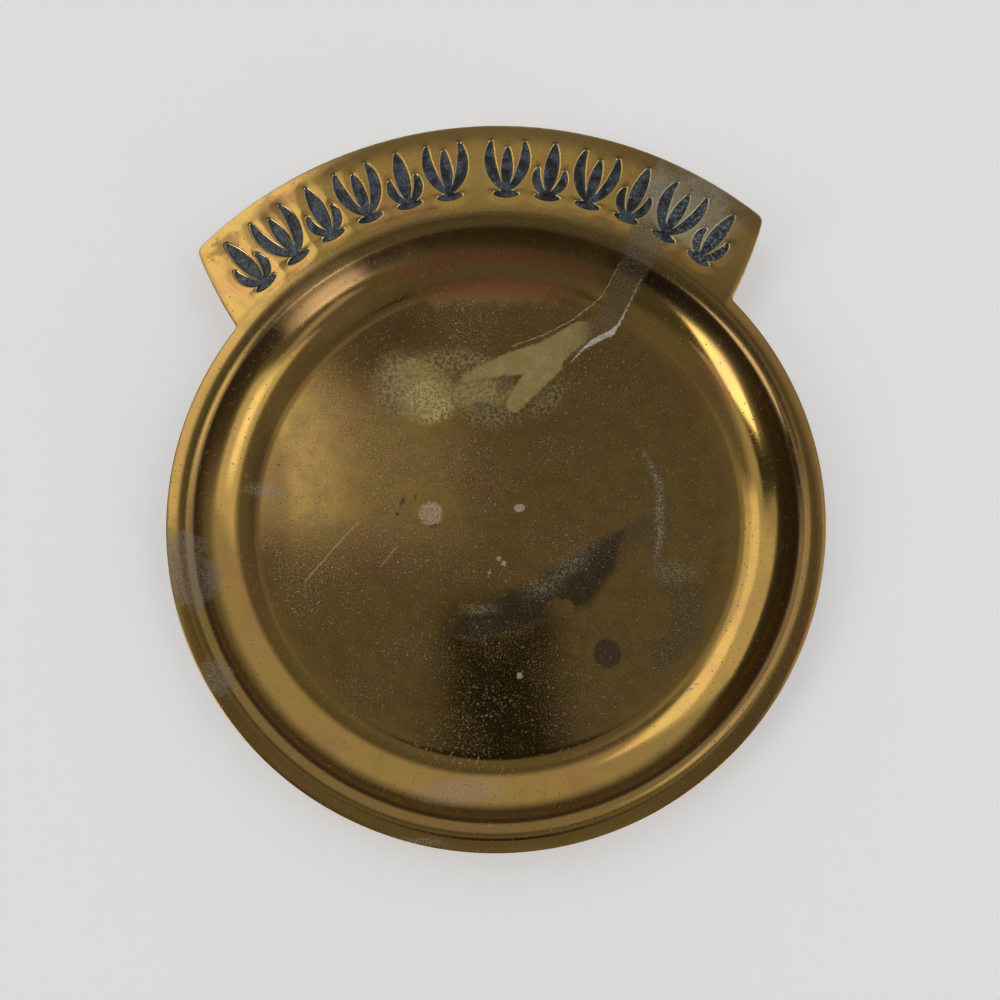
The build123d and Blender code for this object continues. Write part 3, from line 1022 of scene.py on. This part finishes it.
# %% Grey stains and scuffs, and painted shade on the band
rim_stain = pen.ovals(wobbly, [
    (-65.6, -10.2, 4.6, 8.6, 14, 0.12), (-58.6, -33.0, 2.4, 4.2, 30, 0.3),
    (40.0, -41.0, 0.9, 0.6, 0, 0.3),
])
lay(rim_stain, (0.27, 0.24, 0.19), 0.45, 0.4, 0.2 + sandy.ramp(0.45, 0.55) * 0.5)
scuffs = pen.ovals(ragged, [
    (-51.6, 7.9, 4.6, 1.3, -6, 0.5), (-9.9, -58.6, 8.5, 2.4, 0, 0.5),
    (-17.0, -66.8, 4.0, 0.6, -8, 0.5),
])
lay(scuffs, (0.46, 0.42, 0.34), 0.3, 0.5, grain.ramp(0.42, 0.62) * 0.6)
lumpy = pen.ovals(ragged, [(-12.5, -50.5, 8.5, 3.2, -16, 0.5), (-4.0, -41.0, 6.0, 3.4, 0, 0.6)])
lay(lumpy, (0.56, 0.50, 0.40), 0.2, 0.6, crumbs.ramp(0.60, 0.68) * 0.55)
worn_end = pen.ovals(wobbly, [(48.0, 66.0, 10.0, 7.5, -35, 0.5), (42.5, 70.0, 4.5, 6.0, 0, 0.5)])
lay(pen.oval(wobbly, 46.0, 61.5, 9.0, 4.0, -42, 0.6), (0.62, 0.50, 0.25), 0.85, 0.28, 0.6)
lay(worn_end, (0.42, 0.41, 0.31), 0.5, 0.4, 0.28 + sandy.ramp(0.45, 0.55) * 0.4)
# Painted shade: dark smears on the band above the first two marks on the left, where the drawn
# metal mirrors the dark.
band_painted_shade = pen.ovals(wobbly, [(-58.0, 62.5, 4.5, 1.8, 35, 0.5), (-47.5, 71.0, 4.0, 2.4, 30, 0.5)])
lay(band_painted_shade, (0.07, 0.045, 0.02), 1.0, 0.2, 0.5)

# %% Dust, specks, pits and scratches
dusty = pen.noise(pen.flat, 0.06, 1.0).ramp(0.42, 0.62) * across.ramp(45.0, 0.0)
lay(on_floor, (0.44, 0.35, 0.20), 0.5, 0.45, grain.ramp(0.50, 0.70) * (0.2 + dusty * 0.3))
lay(on_floor, (0.10, 0.065, 0.028), 0.95, 0.3, grain.ramp(0.48, 0.32) * (0.25 + dusty * 0.3))
fine_specks = pen.marks(pen.flat, 0, 1.3, 1.3, 0.13, 0.35)
specks = fine_specks + pen.marks(pen.flat, 30, 3.1, 2.8, 0.085, 0.5)
lay(specks.clamp(), (0.60, 0.50, 0.34), 0.3, 0.55, (0.4 + dusty * 0.25) * (0.3 + on_floor * 0.45))
pits = pen.marks(pen.flat, 50, 2.1, 1.9, 0.08, 0.35)
lay(pits, (0.09, 0.05, 0.03), 0.8, 0.5, 0.7)
hairs = pen.marks(pen.flat, 52, 9.0, 0.9, 0.09, 0.25)
hairs = hairs + pen.marks(pen.flat, -30, 7.0, 1.1, 0.08, 0.2)
hairs = hairs + pen.marks(pen.flat, 84, 5.0, 1.0, 0.08, 0.25)
lay(hairs.clamp(), (0.56, 0.43, 0.23), 0.8, 0.4, (0.35 + dusty * 0.25) * (1 - on_band))
scratch = pen.stroke(jitter, [(-42.6, -13.3), (-37.0, -7.2), (-30.6, -0.6)], 0.0)
other_scratch = pen.stroke(jitter, [(-26.0, -10.9), (-22.1, -6.7)], 0.0)
lay(pen.math("MINIMUM", scratch, other_scratch).ramp(0.2, 0.06), (0.62, 0.47, 0.24), 0.8, 0.4, 0.7)

# %% Painted highlight on the recess lips
# Painted highlight: a pale colour on the recess lips, just below the band's top.
depth = rim_top - pen.vector("DOT_PRODUCT", pen.place, (0, 0, 1), out=1)
lay(depth.ramp(0.10, 0.18) * on_band, (0.78, 0.66, 0.42), 0.9, 0.3, 0.4 + limy * 0.4)

# %% Brass relief and shader
colour, finish = pen.blend(skyward, clean, colour), pen.blend(skyward, clean_finish, finish)
apart = pen.node("ShaderNodeSeparateColor", {0: finish})
metal, rough = apart, Wire(pen.tree, apart.socket.node.outputs[1])
crust = pen.ovals(pen.flat, [(28.6, 40.1, 1.9, 0.55, 33, 0.4), (25.0, 38.6, 2.2, 0.5, 34, 0.4)])
relief = lines * 0.35 + grain * 0.25 + crust * 14.0 - pits * 4.0
brass_reach = 0.004
pen.finish(colour, metal, rough, relief, brass_reach * MM)
print("brass nodes:", len(brass.node_tree.nodes))

# %% [markdown]
# The enamel was black-blue once. It is worn now: slate grey in clouds, brownish where it has gone
# thin, with whitish scuffs on the side that fingers and coins reach first.

# %% Worn enamel
enamel = plain_material("worn_enamel")
pen = Pattern(enamel)
worn = pen.noise(pen.flat, 0.32, 3.0, 0.62)
thin = pen.noise(pen.flat, 0.9, 2.0, 0.6)
fleck = pen.noise(pen.flat, 1.4, 4.0, 0.7)
tone = pen.blend(worn.ramp(0.40, 0.62), (0.004, 0.006, 0.009), (0.052, 0.070, 0.086))
tone = pen.blend(thin.ramp(0.54, 0.70) * 0.5, tone, (0.050, 0.030, 0.026))
bare = fleck.ramp(0.60, 0.70) * worn.ramp(0.46, 0.62)
right_end = pen.node("ShaderNodeSeparateXYZ", {0: pen.flat}).ramp(38.0, 48.0)
bare = (bare + right_end * fleck.ramp(0.50, 0.64) * 0.55).clamp()
tone = pen.blend(bare * 0.85, tone, (0.36, 0.40, 0.43))
enamel_reach = 0.08
pen.finish(tone, 0.0, 0.16 + bare * 0.3, worn * 2.4 + fleck * 0.35, enamel_reach * MM)

# %% [markdown]
# Now the blank is pressed and then punched. The trees take metres, so each size is scaled here.

# %% Press and punch the tray
edge_roll, roll_width, unevenness = 0.12, 3.0, 0.04
punch_shoulder, draw, draw_width = 0.46, 0.06, 2.6
press.apply(
    tray, sheet=sheet * MM, floor_radius=floor_radius * MM, cove_radius=cove_radius * MM,
    wall_run=wall_run * MM, crease_centre=crease_centre * MM, crease_radius=crease_radius * MM,
    flange_start=flange_start * MM, shoulder_radius=shoulder_radius * MM, edge_roll=edge_roll * MM,
    roll_width=roll_width * MM, unevenness=unevenness * MM, material=brass,
)
punch.apply(
    tray, punches=punches, depth=recess_depth * MM, shoulder=punch_shoulder * MM, draw=draw * MM,
    draw_width=draw_width * MM, pad=pad_height * MM, pad_margin=pad_margin * MM, sheet=sheet * MM,
    material=brass,
)
bpy.data.objects.remove(punches)
for name in ("drop", "edge"):
    tray.data.attributes.remove(tray.data.attributes[name])
triangles = sum(len(face.vertices) - 2 for face in tray.data.polygons)
print("tray:", len(tray.data.polygons), "faces,", triangles, "triangles")

# %% [markdown]
# The enamel is a thin fill in each recess, a little below the band, that climbs the recess's wall
# at its edge as a liquid does.

# %% Enamel fills
fill_grow, fill_floor, climb_height, climb_width = 0.1, 0.02, 0.09, 0.5


def fill_solid(name, leaves):
    flat, quads, border = mark_patch(leaves, fill_grow)
    inside = fill_grow - mark_distance(flat, leaves)
    climb = np.clip(1 - inside / climb_width, 0, 1) ** 2 * climb_height
    count = len(flat)
    points = [(x, y, enamel_depth + c) for (x, y), c in zip(flat, climb)]
    points += [(x, y, fill_floor) for x, y in flat]
    faces = quads.tolist() + [[count + i for i in reversed(q)] for q in quads.tolist()]
    faces += [(b, a, count + a, count + b) for a, b in border.tolist()]
    made = mesh_object(name, points, faces)
    point_outwards(made)
    return made


fills = row_of_marks(
    "enamel_fills", fill_solid("lotus_fill", lotus_leaves), fill_solid("bud_fill", bud_leaves),
    rim_top - recess_depth, enamel,
)
print("fills:", len(fills.data.polygons), "faces")

# %% [markdown]
# The finished pieces ride on the tray's one body, and the solids they stand for are hidden.

# %% Tie the pieces to the frame
inlays = [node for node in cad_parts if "_inlay_" in node]
for piece, slot_name, nodes in ((tray, "brass", ["brass_tray"]), (fills, "enamel", inlays)):
    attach(piece, "root")
    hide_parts(*nodes)
